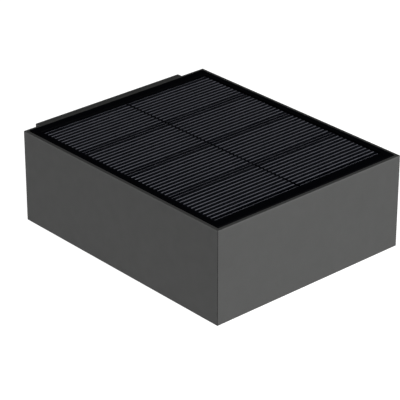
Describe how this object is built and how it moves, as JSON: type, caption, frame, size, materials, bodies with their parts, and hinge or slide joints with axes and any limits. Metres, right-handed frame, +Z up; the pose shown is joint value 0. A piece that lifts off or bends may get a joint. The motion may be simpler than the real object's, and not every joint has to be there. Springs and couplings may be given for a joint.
{
  "type": "solar wall light",
  "caption": "Flat box-shaped outdoor wall light with a flush solar panel in its top, an opal light window below and a push-on wall bracket.",
  "frame": {"origin": "centre of the wall bracket's rear face, on the wall", "axes": "+X along the wall, +Y into the wall, +Z up; the light's free front is at -Y and it shines down"},
  "size_m": [0.135, 0.1713, 0.0566],
  "materials": {
    "anthracite_coat": "fine matt powder coat",
    "steel": "stainless",
    "clear_sheet": "clear low-reflection top sheet",
    "solar_cell": "bluish black silicon with printed fingers",
    "black_plastic": "fine moulded grain",
    "black_rubber": "matt silicone",
    "opal": "opal, satin",
    "white_plastic": "satin white",
    "green_board": "solder resist",
    "led_phosphor": "phosphor gel",
    "battery_wrap": "shrink film",
    "nickel": "plain strip",
    "lead_insulation": "smooth PVC"
  },
  "bodies": {
    "bracket": {"wall_bracket": "anthracite_coat", "clamp_screw_left": "steel", "clamp_screw_right": "steel"},
    "lamp": {"hanger_plate": "steel", "hanger_rivet_1": "steel", "hanger_rivet_2": "steel", "hanger_rivet_3": "steel", "hanger_rivet_4": "steel", "housing": "anthracite_coat", "chassis": "black_plastic", "panel_frame": "black_plastic", "panel_sheet": "clear_sheet", "panel_backing": "black_plastic", "panel_gasket": "black_rubber", "solar_cell_1": "solar_cell", "solar_cell_2": "solar_cell", "solar_cell_3": "solar_cell", "solar_cell_4": "solar_cell", "solar_cell_5": "solar_cell", "solar_cell_6": "solar_cell", "solar_cell_7": "solar_cell", "solar_cell_8": "solar_cell", "bottom_cover": "anthracite_coat", "cover_gasket": "black_rubber", "cover_screw_1": "steel", "cover_screw_2": "steel", "cover_screw_3": "steel", "cover_screw_4": "steel", "diffuser": "opal", "diffuser_gasket": "black_rubber", "reflector": "white_plastic", "led_board": "white_plastic", "led_1": "led_phosphor", "led_2": "led_phosphor", "led_3": "led_phosphor", "led_4": "led_phosphor", "led_5": "led_phosphor", "led_6": "led_phosphor", "led_7": "led_phosphor", "led_8": "led_phosphor", "electronics_tray": "black_plastic", "battery_box": "black_plastic", "battery_front": "battery_wrap", "battery_rear": "battery_wrap", "battery_contact_left": "nickel", "battery_contact_right": "nickel", "control_board": "green_board", "mode_switch": "black_plastic", "panel_lead": "lead_insulation", "battery_lead": "lead_insulation", "led_lead": "lead_insulation", "button_seal": "black_rubber"},
    "button": {"mode_button": "black_rubber"}
  },
  "joints": [
    {"name": "lamp_pull", "type": "slide", "parent": "bracket", "child": "lamp", "axis": [0, -1, 0], "range_m": [0, 0.04]},
    {"name": "button_press", "type": "slide", "parent": "lamp", "child": "button", "axis": [0, 0, 1], "range_m": [0, 0.001], "stiffness_N_per_m": 800}
  ]
}
